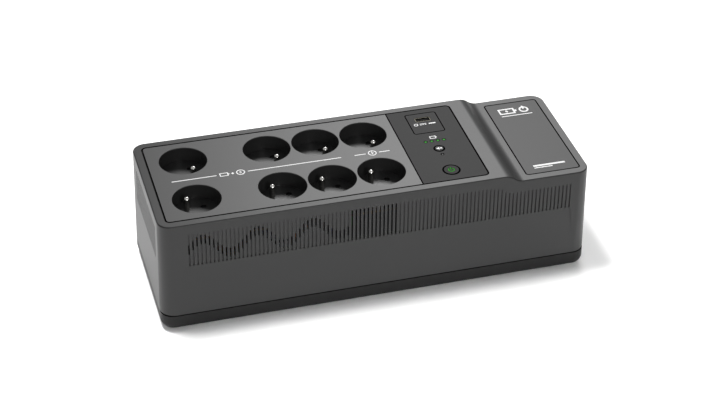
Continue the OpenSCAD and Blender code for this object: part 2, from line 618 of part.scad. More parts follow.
// Mains transformer: steel bracket, laminated core, copper winding.
module transformer_bracket() color([0.58, 0.60, 0.62]) difference() {
  union() {
    box(tr_x - 33, tr_x + 33, -33, 33, floor_top, floor_top + 1.6);
    for (s = [-1, 1]) box(tr_x + s*33.8 - 0.8, tr_x + s*33.8 + 0.8, -12, 12, floor_top, 36);
  }
  for (x = [-27, 27]) for (y = [-28, 28]) rod(tr_x + x, y, 0, 20, 2);
}
module transformer_core() color([0.34, 0.33, 0.33]) difference() {
  box(tr_x - 33, tr_x + 33, -23, 23, floor_top + 1.6, floor_top + 57);
  for (s = [-1, 1]) box(tr_x + s*16.5 - 5.5, tr_x + s*16.5 + 5.5, -30, 30, floor_top + 12.6,
                       floor_top + 46);
}
module transformer_winding() color([0.70, 0.42, 0.18]) difference() {
  rbox(tr_x - 22, tr_x + 22, -32, 32, floor_top + 12.6, floor_top + 46, 6);
  box(tr_x - 11, tr_x + 11, -23, 23, floor_top + 12, floor_top + 47);
  for (s = [-1, 1]) box(tr_x + s*27 - 5, tr_x + s*27 + 5, -23, 23, floor_top, floor_top + 57);
}

// Vertical leads from the strips down to the board.
module lead(x, y) {
  rod(x, y, top_mb, bus_z - bus_t, 1.3);
  rod(x, y, top_mb, top_mb + 3, 2.4);
}
module live_lead() color([0.45, 0.26, 0.12]) lead(mb_x1 - 26, -line_y + 4.6);
module neutral_lead() color([0.15, 0.28, 0.62]) lead(mb_x1 - 26, -neut_y - 4.4);
module earth_lead() color([0.30, 0.60, 0.22]) lead(mb_x1 - 5, -row_y + 1.9);

// Sealed battery block lying on its side, its terminals and leads.
term_x = bat_x0 + 10;
bat_y1 = bat_y0 + battery_width;
module battery_case() color([0.12, 0.12, 0.13]) {
  rbox(bat_x0, bat_x1, bat_y0, bat_y1 - 3, bat_z0, bat_z0 + battery_height, 1.5);
  rbox(bat_x0 + 1, bat_x1 - 1, bat_y1 - 4, bat_y1, bat_z0 + 1, bat_z0 + battery_height - 1, 1);
}
module battery_terminals() color([0.76, 0.74, 0.66])
  for (z = [12, battery_height - 12]) translate([term_x, bat_y1, bat_z0 + z]) {
    translate([-4, 0, -4]) cube([8, 1.2, 8]);
    translate([-3.2, 1, -0.4]) cube([6.4, 5, 0.8]);
  }
// quarter bend of a round wire in the XY plane, from the X direction into the Y direction
module bend(radius) rotate_extrude(angle = 90) translate([radius, 0]) circle(lead_r);
lead_r = 1.5;                     // radius of a battery lead
lead_bend = 3.2;                  // radius of its bends
lead_x = mb_x1 - 4;               // where the leads come down on the main board
// out of the terminal along the battery, round a corner along Y, then down to the board at y
module battery_lead(z, y) {
  lead_y = bat_y1 + 4.5;
  lead_z = bat_z0 + z + 2;
  translate([term_x - 3.7, bat_y1 + 2, bat_z0 + z + 0.4]) cube([7.4, 5, 2.8]);
  translate([lead_x + lead_bend, lead_y, lead_z]) rotate([0, 90, 0])
    cylinder(h = term_x - lead_x - lead_bend, r = lead_r);
  translate([lead_x + lead_bend, lead_y - lead_bend, lead_z]) rotate([0, 0, 90]) bend(lead_bend);
  translate([lead_x, y + lead_bend, lead_z]) rotate([-90, 0, 0])
    cylinder(h = lead_y - y - 2*lead_bend, r = lead_r);
  translate([lead_x, y + lead_bend, lead_z - lead_bend]) rotate([90, 0, -90]) bend(lead_bend);
  rod(lead_x, y, top_mb, lead_z - lead_bend, lead_r);
}
module battery_lead_positive() color([0.75, 0.10, 0.08]) battery_lead(battery_height - 12, 20);
module battery_lead_negative() color([0.06, 0.06, 0.06]) battery_lead(12, 30);

// Sliding door under the battery: short tongues, ribbed thumb grip.
module battery_door() color([0.14, 0.14, 0.15]) difference() {
  union() {
    box(door_x0, door_x1, door_y0, door_y1, foot, foot + 2.2);
    for (i = [0:3]) box(tongue_x(i), tongue_x(i) + 9, door_y0 - 1.6, door_y1 + 1.6,
                        foot + 1.4, foot + 2.2);
  }
  for (i = [0:5]) translate([door_x1 - 18 + i*2.4, -18, foot - 0.8]) cube([1.2, 30, 1.5]);
}

module rubber_feet() color([0.07, 0.07, 0.07])
  for (x = [-foot_x, foot_x]) for (y = [-foot_y, foot_y]) rod(x, y, 0, foot + 1, 6.3);
module case_screws() color([0.55, 0.56, 0.58]) for (x = post_x) for (y = [-post_y, post_y])
  difference() {
    union() {
      rod(x, y, 2.6, 5, 3);
      rod(x, y, 5, boss_top + 14, 1.45);
    }
    rod(x, y, 2, 3.9, 1.4);
  }
module board_screws() color([0.66, 0.66, 0.60]) {
  for (x = [mb_x0 + 5, mb_x1 - 5]) for (y = [-mb_y + 5, mb_y - 5]) {
    rod(x, y, top_mb, top_mb + 1.8, 2.6);
    rod(x, y, floor_top + 2, top_mb, 1.15);
  }
  for (x = [cb_x - 22, cb_x + 22]) for (y = [-46, 46]) {
    rod(x, y, cb_z - 3.4, cb_z - 1.6, 2.6);
    rod(x, y, cb_z - 1.6, cb_z + 4.5, 1.05);
  }
  for (c = [0:3]) {
    rod(cols[c], 0, carrier_z - 3.8, carrier_z - 2, 2.6);
    rod(cols[c], 0, carrier_z - 2, carrier_z + 2.6, 1.05);
  }
}

// Right end: resettable breaker, network-style data port, cable gland.
module breaker_body() color([0.09, 0.09, 0.09]) translate([L/2 - 5, -38, 40]) rotate([0, 90, 0])
  difference() {
    union() {
      translate([-8, -7, -24]) cube([16, 14, 24]);
      cylinder(h = 9.4, r = 5);
    }
    translate([0, 0, -6]) cylinder(h = 20, r = 3.3);
  }
module breaker_button() color([0.82, 0.82, 0.80]) translate([L/2 - 10.5, -38, 40])
  rotate([0, 90, 0]) cylinder(h = 15.5, r = 3.2);
module data_port() color([0.10, 0.10, 0.11]) difference() {
  union() {
    box(L/2 - 20, L/2 - 5, 20.5, 41.5, 31.5, 48.5);
    box(L/2 - 6, L/2 + 0.6, 23.2, 38.8, 33.2, 46.8);
  }
  box(L/2 - 16, L/2 + 3, 25, 37, 36, 45);
  box(L/2 - 16, L/2 + 3, 28, 34, 34.5, 37);
}
module cord_gland() color([0.06, 0.06, 0.06]) translate([L/2 - 5, 0, 34]) rotate([0, 90, 0])
  difference() {
    union() {
      translate([0, 0, -4]) cylinder(h = 4, r = 9);
      cylinder(h = 10, r = 6.1);
    }
    translate([0, 0, -6]) cylinder(h = 30, r = 3.8);
  }

upper_housing();
base_tray();
outlet_plate();
control_panel();
trim_plate();
socket_block_left();
socket_block_main();
contact_carrier_left();
contact_carrier_main();
earth_pins();
earth_bus();
neutral_bus();
live_bus_backup();
live_bus_surge();
shutter_1();
shutter_2();
shutter_3();
shutter_4();
shutter_5();
shutter_6();
shutter_7();
shutter_8();
usb_insert();
usb_shell();
usb_tongue();
usb_contacts();
status_lenses();
alarm_lens();
mute_button();
power_button();
power_icon_lens();
control_board();
tact_switches();
status_leds();
buzzer();
main_board();
transformer_bracket();
transformer_core();
transformer_winding();
relays();
capacitors();
heat_sink();
power_transistors();
choke();
fuse();
live_lead();
neutral_lead();
earth_lead();
battery_case();
battery_terminals();
battery_lead_positive();
battery_lead_negative();
battery_door();
rubber_feet();
case_screws();
board_screws();
breaker_body();
breaker_button();
data_port();
cord_gland();
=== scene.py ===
# Uninterruptible power supply with eight recessed outlets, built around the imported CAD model.
import json
import math

import bmesh
import bpy
from mathutils import Matrix, Vector


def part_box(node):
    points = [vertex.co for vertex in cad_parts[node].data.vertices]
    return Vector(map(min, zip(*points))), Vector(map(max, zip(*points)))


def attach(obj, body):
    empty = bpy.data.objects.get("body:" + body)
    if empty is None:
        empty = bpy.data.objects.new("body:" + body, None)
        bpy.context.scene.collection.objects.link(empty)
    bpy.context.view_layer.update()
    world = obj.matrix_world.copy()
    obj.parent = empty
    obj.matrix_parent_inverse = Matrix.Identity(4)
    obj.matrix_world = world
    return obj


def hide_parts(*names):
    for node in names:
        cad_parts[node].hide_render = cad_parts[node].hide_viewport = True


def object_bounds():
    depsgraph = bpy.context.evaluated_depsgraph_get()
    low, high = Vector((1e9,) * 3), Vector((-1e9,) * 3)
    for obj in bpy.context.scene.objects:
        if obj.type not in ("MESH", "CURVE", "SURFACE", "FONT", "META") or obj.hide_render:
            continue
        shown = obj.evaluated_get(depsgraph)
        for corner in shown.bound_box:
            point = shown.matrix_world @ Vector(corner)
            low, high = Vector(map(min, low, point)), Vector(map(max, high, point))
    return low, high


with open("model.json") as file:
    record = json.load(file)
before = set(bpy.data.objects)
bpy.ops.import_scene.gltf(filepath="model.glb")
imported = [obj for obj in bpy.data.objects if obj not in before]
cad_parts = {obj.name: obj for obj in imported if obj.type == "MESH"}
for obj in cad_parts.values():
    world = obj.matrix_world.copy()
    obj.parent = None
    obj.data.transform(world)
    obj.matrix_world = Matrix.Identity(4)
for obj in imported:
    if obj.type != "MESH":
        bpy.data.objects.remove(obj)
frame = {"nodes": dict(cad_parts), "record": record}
cad_low, cad_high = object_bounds()
nodes = frame["nodes"]
mm = 0.001

# ---- Camera ----
# A long lens on a tripod, in front of the long side and to its left, looking down on the deck.
# Its place, direction and roll were fitted to the straight edges and the wells of the real one.
eye = Vector((-364.1, -1261.7, 970.2)) * mm
focal_length, film_width = 94.07, 36
right = Vector((0.9627, -0.27034, 0.01086)).normalized()
back = Vector((-0.2278, -0.78823, 0.57167)).normalized()
up = back.cross(right).normalized()
right = up.cross(back).normalized()
lens = bpy.data.cameras.new("long_lens")
lens.lens, lens.sensor_width = focal_length, film_width
lens.clip_start, lens.clip_end = 0.05, 20
camera = bpy.data.objects.new("camera", lens)
camera.matrix_world = Matrix.Translation(eye) @ Matrix((right, up, back)).transposed().to_4x4()
bpy.context.scene.collection.objects.link(camera)
bpy.context.scene.camera = camera
bpy.context.scene.view_settings.view_transform = "Standard"

# ---- Floor and light ----
# A pale studio floor under a white tent. One wide soft box hangs behind and above the case and
# lights the deck, a second one fills the long front, and the tent gives the pale reflections.


class Socket:
    """A node socket that takes part in Python arithmetic by adding Math nodes."""

    def __init__(self, tree, socket):
        self.tree, self.socket = tree, socket

    def node(self, kind, settings=None, inputs=None, out=0):
        """Any other node: its settings first, then the values or links of its sockets."""
        made = self.tree.nodes.new(kind)
        for name, value in (settings or {}).items():
            setattr(made, name, value)
        for name, value in (inputs or {}).items():
            if isinstance(value, Socket):
                self.tree.links.new(value.socket, made.inputs[name])
            else:
                made.inputs[name].default_value = value
        return Socket(self.tree, made.outputs[out])

    def maths(self, operation, first, second):
        return self.node("ShaderNodeMath", {"operation": operation}, {0: first, 1: second})

    def __add__(self, other):
        return self.maths("ADD", self, other)

    def __radd__(self, other):
        return self.maths("ADD", other, self)

    def __mul__(self, other):
        return self.maths("MULTIPLY", self, other)

    def __rmul__(self, other):
        return self.maths("MULTIPLY", other, self)

    def clamped(self):
        return self.node("ShaderNodeClamp", None, {"Value": self})

    def blend(self, low, high):
        """The colour low where this value is 0 and high where it is 1."""
        return self.node(
            "ShaderNodeMix", {"data_type": "RGBA"}, {0: self, 6: low, 7: high}, out=2
        )


class Finish:
    """A material with its Principled shader, fed by Socket values."""

    def __init__(self, name, **constants):
        self.material = bpy.data.materials.new(name)
        self.material.use_nodes = True
        self.tree = self.material.node_tree
        self.shader = self.tree.nodes["Principled BSDF"]
        for key, value in constants.items():
            self.shader.inputs[key.replace("_", " ")].default_value = value
        place = self.tree.nodes.new("ShaderNodeTexCoord")
        self.place = Socket(self.tree, place.outputs["Object"])

    def feed(self, name, value):
        self.tree.links.new(value.socket, self.shader.inputs[name])

    def noise(self, scale, detail=2.0, roughness=0.5):
        return self.place.node(
            "ShaderNodeTexNoise",
            None,
            {"Vector": self.place, "Scale": scale, "Detail": detail, "Roughness": roughness},
        )

    def bump(self, height, depth, strength=1.0):
        normal = height.node(
            "ShaderNodeBump", None, {"Height": height, "Distance": depth, "Strength": strength}
        )
        self.feed("Normal", normal)


def grey(value, tint=0.0):
    """A neutral colour from its display value in 0 to 255, a little cooler with a positive tint."""
    linear = ((value / 255 + 0.055) / 1.055) ** 2.4 if value > 10 else value / 255 / 12.92
    return (linear * (1 - tint), linear, linear * (1 + tint), 1.0)


paper = Finish(
    "studio_floor",
    Base_Color=(0.93, 0.93, 0.93, 1),
    Emission_Color=(1, 1, 1, 1),
    Emission_Strength=0.04,
)
paper.feed("Roughness", 0.85 + paper.noise(3) * 0.1)
reach = 9
floor_corners = [(-reach, -reach, 0), (reach, -reach, 0), (reach, reach, 0), (-reach, reach, 0)]
floor_mesh = bpy.data.meshes.new("floor")
floor_mesh.from_pydata(floor_corners, [], [(0, 1, 2, 3)])
floor_mesh.materials.append(paper.material)
floor = bpy.data.objects.new("floor", floor_mesh)
floor.location.z = cad_low.z
bpy.context.scene.collection.objects.link(floor)

tent = bpy.data.worlds.new("tent")
tent.use_nodes = True
tent_cloth = tent.node_tree.nodes["Background"]
tent_cloth.inputs["Color"].default_value = (1, 1, 1, 1)
tent_cloth.inputs["Strength"].default_value = 0.4
bpy.context.scene.world = tent


def soft_box(name, place, target, width, height, watts):
    light = bpy.data.lights.new(name, "AREA")
    light.shape, light.size, light.size_y, light.energy = "RECTANGLE", width, height, watts
    made = bpy.data.objects.new(name, light)
    made.location = place
    aim = Vector(target) - Vector(place)
    made.rotation_euler = aim.to_track_quat("-Z", "Y").to_euler()
    bpy.context.scene.collection.objects.link(made)
    return made


soft_box("back_box", (0.60, 1.42, 1.35), (0.05, 0, 0.05), 0.8, 0.6, 19)
front_box = soft_box("front_box", (0.25, -2.2, 0.9), (0.03, -0.07, 0.05), 0.5, 0.4, 0.35)
front_box.data.spread = math.radians(22)

# A small box overhead lights the floor alone, so the case stands in a tight soft shadow.
floor_box = soft_box("floor_box", (-0.45, 0.2, 2.0), (0, 0, 0), 0.4, 0.4, 46)
floor_only = bpy.data.collections.new("floor_only")
floor_only.objects.link(floor)
floor_box.light_linking.receiver_collection = floor_only

# ---- Upper housing ----
# The charcoal shell is one injection moulding in satin plastic with a fine spark-eroded grain.
# Its top edge is rounded by about a millimetre, and the edges round the deck and vents are crisp.


def grained(name, value, roughness, grain=0.00005, tint=0.0, spread=0.05, shine=0.38):
    """Moulded plastic: even colour with a faint cloud, fine grain in bump and roughness."""
    made = Finish(name, Specular_IOR_Level=shine)
    cloud = made.noise(9, 3)
    speckle = made.noise(2600, 1)
    mix = (cloud * 0.7 + speckle * 0.3).clamped()
    darker, lighter = grey(value * (1 - spread), tint), grey(value * (1 + spread), tint)
    made.feed("Base Color", mix.blend(darker, lighter))
    made.feed("Roughness", roughness - 0.04 + speckle * 0.08)
    made.bump(made.noise(1900, 2, 0.6), grain, 0.5)
    return made.material


def paint(node, material):
    mesh = nodes[node].data
    mesh.materials.clear()
    mesh.materials.append(material)


def smooth(mesh, angle=32):
    """Smooth shading in which the widest flat face round a corner point sets its normal."""
    limit = math.cos(math.radians(angle))
    slopes_per_unit, steps_per_metre = 500, 50000
    planes, plane_of = {}, []
    for face in mesh.polygons:
        slope = (round(part * slopes_per_unit) for part in face.normal)
        key = (*slope, round(face.normal.dot(face.center) * steps_per_metre))
        plane = planes.setdefault(key, [face.normal.copy(), 0.0])
        plane[1] += face.area / mm**2
        plane_of.append(key)
    meeting = [{} for _ in mesh.vertices]
    for face in mesh.polygons:
        for vertex in face.vertices:
            meeting[vertex][plane_of[face.index]] = True
    done, normals = {}, []
    for face in mesh.polygons:
        own = plane_of[face.index]
        for vertex in face.vertices:
            if (vertex, own) not in done:
                total = Vector()
                for key in meeting[vertex]:
                    normal, area = planes[key]
                    if normal.dot(planes[own][0]) > limit:
                        total += normal * area**2
                done[vertex, own] = total.normalized()
            normals.append(done[vertex, own])
    mesh.polygons.foreach_set("use_smooth", [True] * len(mesh.polygons))
    mesh.normals_split_custom_set(normals)


def shell_of(node, name, edges, material):
    """A copy of a CAD node with chosen edges rounded. edges holds (radius, steps, test) rows."""
    same_point, crease = 2e-6, math.radians(30)
    made = bpy.data.objects.new(name, nodes[node].data.copy())
    bpy.context.scene.collection.objects.link(made)
    if made.data.has_custom_normals:
        made.data.attributes.remove(made.data.attributes["custom_normal"])
    work = bmesh.new()
    work.from_mesh(made.data)
    bmesh.ops.remove_doubles(work, verts=work.verts, dist=same_point)
    bmesh.ops.dissolve_degenerate(work, edges=work.edges, dist=1e-7)
    for radius, steps, test in edges:
        work.normal_update()
        chosen = []
        for edge in work.edges:
            if len(edge.link_faces) != 2 or not edge.is_convex:
                continue
            if edge.calc_face_angle(0) < crease:
                continue
            middle = (edge.verts[0].co + edge.verts[1].co) / 2
            if test(middle, *[face.normal for face in edge.link_faces]):
                chosen.append(edge)
        if chosen:
            bmesh.ops.bevel(
                work,
                geom=chosen,
                offset=radius,
                offset_type="OFFSET",
                segments=steps,
                profile=0.5,
                affect="EDGES",
                clamp_overlap=False,
            )
    work.to_mesh(made.data)
    work.free()
    made.data.materials.clear()
    made.data.materials.append(material)
    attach(made, body_of[node])
    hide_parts(node)
    smooth(made.data)
    return made


bodies = frame["record"]["behaviour"]["bodies"]
body_of = {node: body for body, members in bodies.items() for node in members}
shell_low, shell_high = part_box("upper_housing")
wall_x, wall_y = shell_high.x - 1.75 * mm, shell_high.y - 1.75 * mm
corner = 11 * mm


def outer_rim(point, one, two):
    """On the top edge of the outside wall."""
    if max(one.z, two.z) < 0.5 or min(abs(one.z), abs(two.z)) > 0.2:
        return False
    over_x = max(abs(point.x) - (wall_x - corner), 0)
    over_y = max(abs(point.y) - (wall_y - corner), 0)
    return math.hypot(over_x, over_y) > corner - 0.5 * mm


def on_top(point, one, two):
    """On an edge between an upward face and an upright one."""
    return max(one.z, two.z) > 0.9 and min(abs(one.z), abs(two.z)) < 0.2


def paint_gap_shade(made, test):
    """Paints faces along a joint line near-black: painted shade widening the gap's dark line."""
    made.data.materials.append(painted_gap_shade)
    for face in made.data.polygons:
        if test(face.center, face.normal):
            face.material_index = 1


def recess_edge(point, one, two):
    """On the deck's inner edges, which the plates are let into."""
    if not on_top(point, one, two) or outer_rim(point, one, two):
        return False
    return point.z > shell_high.z - 7 * mm and abs(point.x) < wall_x - 2 * mm


wall_points = nodes["upper_housing"].data.vertices
seam_z = min(vertex.co.z for vertex in wall_points if vertex.co.y < shell_low.y + 1 * mm)


def lower_rim(point, one, two):
    """On the bottom edge of the outside wall, above the seam."""
    low_edge = abs(point.z - seam_z) < 0.2 * mm and min(one.z, two.z) < -0.9
    return low_edge and max(abs(one.z), abs(two.z)) > 0.9 and one.dot(point) + two.dot(point) > 0


charcoal = grained("housing_plastic", 36, 0.42)
# Near-black used as painted shade on the faces beside the joints, not as a colour of the plastic.
painted_gap_shade = grained("painted_gap_shade", 4, 0.8, shine=0.02)
plate_low, plate_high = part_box("outlet_plate")
panel_low, panel_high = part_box("control_panel")
trim_low, trim_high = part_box("trim_plate")


def within(point, low, high, margin):
    """Over the rectangle from low to high widened by margin."""
    over_x = low.x - margin < point.x < high.x + margin
    return over_x and low.y - margin < point.y < high.y + margin


# Painted shade: the housing's band at the seam, and its sloping and upright faces round the deck
# recess and the trim groove, are painted near-black to widen the dark joint lines.
def housing_shade_faces(point, normal):
    deck = within(point, plate_low, Vector((panel_high.x, panel_high.y, 0)), 1.1 * mm)
    end = within(point, trim_low, trim_high, 1.1 * mm) and point.z > trim_low.z - 0.5 * mm
    foot = point.z < seam_z + 0.5 * mm
    return foot or normal.z < 0.98 and (end or deck and point.z > plate_low.z)


housing = shell_of(
    "upper_housing",
    "housing_shell",
    [(1.0 * mm, 4, outer_rim), (0.45 * mm, 2, lower_rim), (0.4 * mm, 2, recess_edge)],
    charcoal,
)
paint_gap_shade(housing, housing_shade_faces)

# ---- Base tray ----
# The tray is a darker moulding of the same plastic. Its lip sits behind the housing and leaves
# the dark line all round, widened by painted shade on the tray's top edge, and six screws from
# below hold the two together.
tray_plastic = grained("tray_plastic", 16, 0.5, shine=0.25)
tray = shell_of("base_tray", "tray_shell", [], tray_plastic)
# The tray's faces within a millimetre below the seam are painted near-black as shade in the joint.
paint_gap_shade(tray, lambda point, normal: point.z > seam_z - 1.1 * mm)
paint("battery_door", grained("door_plastic", 34, 0.48))

# ---- Outlet plate and trim plate ----
# The plate round the wells is a lighter grey moulding let into the deck; its rims are slightly
# rounded. The trim plate on the lowered end is a plain satin panel in a groove of its own.
outlet_grey = grained("outlet_plate_plastic", 70, 0.42, 0.00003)
plate_rims = [(0.4 * mm, 3, on_top)]
plate = shell_of("outlet_plate", "outlet_deck", plate_rims, outlet_grey)


def shaded_rim_of(low, high):
    """Sloping and upright faces round a plate's outline, which are painted near-black as shade."""
    return lambda point, normal: normal.z < 0.98 and not within(point, low, high, -1.4 * mm)


# The rounded rims and sides of both plates are painted near-black as shade to widen the joint.
paint_gap_shade(plate, shaded_rim_of(plate_low, plate_high))
trim_grey = grained("trim_plastic", 30, 0.42, 0.00003, shine=0.26)
trim = shell_of("trim_plate", "end_trim", [(0.4 * mm, 2, on_top)], trim_grey)
paint_gap_shade(trim, shaded_rim_of(trim_low, trim_high))

# ---- Outlet wells ----
# The wells are cups of smooth black plastic that come up behind the rims of the plate.
# The carriers, shutters and contacts below them show only through the pin holes.
cup_black = grained("cup_plastic", 36, 0.36, 0.00002, shine=0.6)
for block in ("socket_block_left", "socket_block_main"):
    paint(block, cup_black)
shutter_black = grained("shutter_plastic", 40, 0.45)
for number in range(1, 9):
    paint(f"shutter_{number}", shutter_black)
carrier_cream = grained("carrier_plastic", 190, 0.5, tint=-0.08)
for block in ("contact_carrier_left", "contact_carrier_main"):
    paint(block, carrier_cream)

# ---- Earth pins ----
# Eight solid brass pins, nickel plated and polished, with a round tip.


def plated(name, colour, roughness, brushed=0.0):
    made = Finish(name, Metallic=1.0)
    cloud = made.noise(60, 3)
    made.feed("Base Color", cloud.blend([c * 0.9 for c in colour[:3]] + [1], colour))
    made.feed("Roughness", roughness - 0.05 + made.noise(400, 3) * 0.1)
    if brushed:
        made.bump(made.noise(3000, 2), brushed, 0.3)
    return made.material


nickel = plated("nickel_plate", (0.80, 0.79, 0.76, 1), 0.18)
paint("earth_pins", nickel)
tinned = plated("tinned_steel", (0.72, 0.72, 0.70, 1), 0.35, 0.00001)
brass = plated("stamped_brass", (0.80, 0.58, 0.26, 1), 0.30, 0.00001)
zinc = plated("zinc_plate", (0.62, 0.64, 0.67, 1), 0.38, 0.00002)
for node in ("earth_bus", "battery_terminals"):
    paint(node, tinned)
for node in ("neutral_bus", "live_bus_backup", "live_bus_surge", "usb_contacts"):
    paint(node, brass)
for node in ("case_screws", "board_screws", "transformer_bracket"):
    paint(node, zinc)

# ---- Control panel ----
# A darker satin panel carries the charging socket, the status lights and the two buttons.
panel_dark = grained("panel_plastic", 14, 0.50, 0.00003, shine=0.16)
panel_rims = [(0.35 * mm, 2, on_top)]
panel = shell_of("control_panel", "control_deck", panel_rims, panel_dark)
# The panel's sides, rounded rim and lower faces, and the insert's sides, are painted near-black as
# shade in their joints.
paint_gap_shade(panel, lambda point, normal: normal.z < 0.98 or point.z < panel_high.z - 0.5 * mm)
insert_dark = grained("insert_plastic", 14, 0.50, 0.00003, shine=0.16)
insert_rims = [(0.25 * mm, 2, on_top)]
insert = shell_of("usb_insert", "charging_insert", insert_rims, insert_dark)
paint_gap_shade(insert, lambda point, normal: normal.z < 0.98)
paint("usb_shell", plated("port_shell", (0.075, 0.07, 0.055, 1), 0.35))
paint("usb_tongue", grained("tongue_plastic", 14, 0.6, shine=0.1))

# ---- Buttons ----
# Both buttons are satin caps with a softly rounded edge, set in a dark ring gap. Their sides
# and rounded edges are painted near-black as shade, which widens the ring.
cap_rims = [(0.35 * mm, 3, on_top)]
for node, name, material in (
    ("power_button", "power_cap", grained("button_plastic", 12, 0.50, 0.00002, shine=0.13)),
    ("mute_button", "mute_cap", grained("mute_plastic", 16, 0.45, 0.00002, shine=0.14)),
):
    cap = shell_of(node, name, cap_rims, material)
    cap_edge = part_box(node)[1].z - 0.8 * mm
    # The cap's sides and the band below its rounded edge are painted near-black as shade.
    paint_gap_shade(cap, lambda point, normal: normal.z < 0.9 or point.z < cap_edge)

# ---- Lit windows ----
# Translucent green windows over small lamps: four status lights and the mark in the power cap.


def lit(name, colour, glow, strength):
    made = Finish(name, Roughness=0.4, Specular_IOR_Level=0.04, Emission_Strength=strength)
    cloud = made.noise(900, 2)
    made.feed("Base Color", cloud.blend([c * 0.85 for c in colour[:3]] + [1], colour))
    made.feed("Emission Color", cloud.blend([c * 0.8 for c in glow[:3]] + [1], glow))
    return made.material


paint("status_lenses", lit("status_green", (0.005, 0.06, 0.003, 1), (0.004, 0.10, 0.002, 1), 0.3))
lamp_green = lit("lamp_green", (0.01, 0.14, 0.004, 1), (0.016, 0.46, 0.006, 1), 1.0)
paint("power_icon_lens", lit("power_green", (0.01, 0.10, 0.004, 1), (0.012, 0.20, 0.003, 1), 0.9))
paint("alarm_lens", grained("alarm_window", 90, 0.4, shine=0.1))

# ---- White printing ----
# Thin pad-printed marks, a few hundredths of a millimetre thick. They are plain signs: lines
# that bracket the outlets, a battery, a plus, a bolt in a ring, and a crossed loudspeaker.
# The ink also gives off a faint glow, a painted highlight that keeps the white marks bright.
glowing_ink = Finish("white_ink_glowing", Roughness=0.55, Emission_Color=(1, 1, 1, 1), Emission_Strength=0.28)
ink_cloud = glowing_ink.noise(1500, 2)
glowing_ink.feed("Base Color", ink_cloud.blend((0.78, 0.78, 0.78, 1), (0.9, 0.9, 0.9, 1)))
glowing_ink.bump(ink_cloud, 0.00001, 0.4)


def ribbon(path, width, closed=False):
    """Corner points of a stroke of even width along a path, as two lists, left and right."""
    path = [Vector(p) for p in path]
    left, right_side = [], []
    count = len(path)
    for i, point in enumerate(path):
        before = path[i - 1] if closed or i else point
        after = path[(i + 1) % count] if closed or i < count - 1 else point
        a = (point - before).normalized() if point != before else (after - point).normalized()
        b = (after - point).normalized() if after != point else a
        middle = (a + b).normalized()
        side = Vector((-middle.y, middle.x)) * (width / 2 / max(middle.dot(a), 0.35))
        left.append(point + side)
        right_side.append(point - side)
    return left, right_side


def printing(name, body, strokes, fills, height, material):
    """One thin mesh of strokes (path, width, closed) and filled outlines, in millimetres, on
    a face at the given height."""
    work = bmesh.new()
    thick = 0.03 * mm
    height += 0.01 * mm

    def slab(outline):
        low = [work.verts.new((p[0] * mm, p[1] * mm, height - thick)) for p in outline]
        high = [work.verts.new((p[0] * mm, p[1] * mm, height + thick)) for p in outline]
        work.faces.new(high)
        work.faces.new(low[::-1])
        for i in range(len(outline)):
            j = (i + 1) % len(outline)
            work.faces.new((low[i], low[j], high[j], high[i]))

    for path, width, closed in strokes:
        rows = zip(*ribbon(path, width, closed))
        cuts = []
        for row in rows:
            levels = (height - thick, height + thick)
            cuts.append([work.verts.new((p.x * mm, p.y * mm, z)) for p in row for z in levels])
        last = len(cuts) if closed else len(cuts) - 1
        for i in range(last):
            here, there = cuts[i], cuts[(i + 1) % len(cuts)]
            for a, b in ((1, 3), (3, 2), (2, 0), (0, 1)):
                work.faces.new((here[a], there[a], there[b], here[b]))
        if not closed:
            for end in (cuts[0], cuts[-1]):
                work.faces.new((end[0], end[1], end[3], end[2]))
    for outline in fills:
        slab(outline)
    bmesh.ops.recalc_face_normals(work, faces=work.faces)
    mesh = bpy.data.meshes.new(name)
    work.to_mesh(mesh)
    work.free()
    mesh.materials.append(material)
    made = bpy.data.objects.new(name, mesh)
    bpy.context.scene.collection.objects.link(made)
    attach(made, body)
    return made


def arc(cx, cy, radius, start, end, steps=28):
    span = [math.radians(start + (end - start) * i / steps) for i in range(steps + 1)]
    return [(cx + radius * math.cos(t), cy + radius * math.sin(t)) for t in span]


def ring(cx, cy, radius, width):
    return (arc(cx, cy, radius, 0, 360 - 12, 29), width, True)


def battery_sign(cx, cy, w, h, stroke):
    """A box with a small pole at its right end, as one closed stroke and one filled outline."""
    corners = ((-1, -1), (1, -1), (1, 1), (-1, 1))
    box = [(cx + w / 2 * x, cy + h / 2 * y) for x, y in corners]
    pole_x, pole_w, pole_h = cx + w / 2 + stroke, stroke * 0.6, h * 0.18
    pole = [(pole_x + pole_w * x, cy + pole_h * y) for x, y in corners]
    return (box, stroke, True), pole


def bolt_sign(cx, cy, size):
    points = [(0.15, 1.0), (-0.55, -0.1), (-0.05, -0.1), (-0.2, -1.0), (0.55, 0.2), (0.05, 0.2)]
    return [(cx + x * size, cy + y * size) for x, y in points]


well_mid = [sum(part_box(f"shutter_{n}"), Vector()) / 2 / mm for n in (1, 3, 5, 7)]
line_y = -0.2
group_left, group_right = well_mid[0].x - 15, well_mid[2].x + 15
sign_x, single = well_mid[0].x + 29, well_mid[3].x
battery, pole = battery_sign(sign_x - 0.4, line_y, 6.4, 4.0, 0.85)
strokes = [
    ([(group_left, line_y), (sign_x - 6.6, line_y)], 0.95, False),
    ([(sign_x + 19.6, line_y), (group_right, line_y)], 0.95, False),
    battery,
    ([(sign_x + 5.6, line_y), (sign_x + 8.2, line_y)], 0.85, False),
    ([(sign_x + 6.9, line_y - 1.3), (sign_x + 6.9, line_y + 1.3)], 0.85, False),
    ring(sign_x + 13.6, line_y, 3.3, 0.85),
    ([(single - 15.3, line_y), (single - 5.7, line_y)], 0.95, False),
    ([(single + 5.9, line_y), (single + 15.3, line_y)], 0.95, False),
    ring(single + 0.1, line_y, 3.3, 0.85),
]
bolts = [bolt_sign(sign_x + 13.6, line_y, 2.3), bolt_sign(single + 0.1, line_y, 2.3)]
fills = [pole, *bolts]
printing("deck_printing", "case", strokes, fills, plate_high.z, glowing_ink.material)

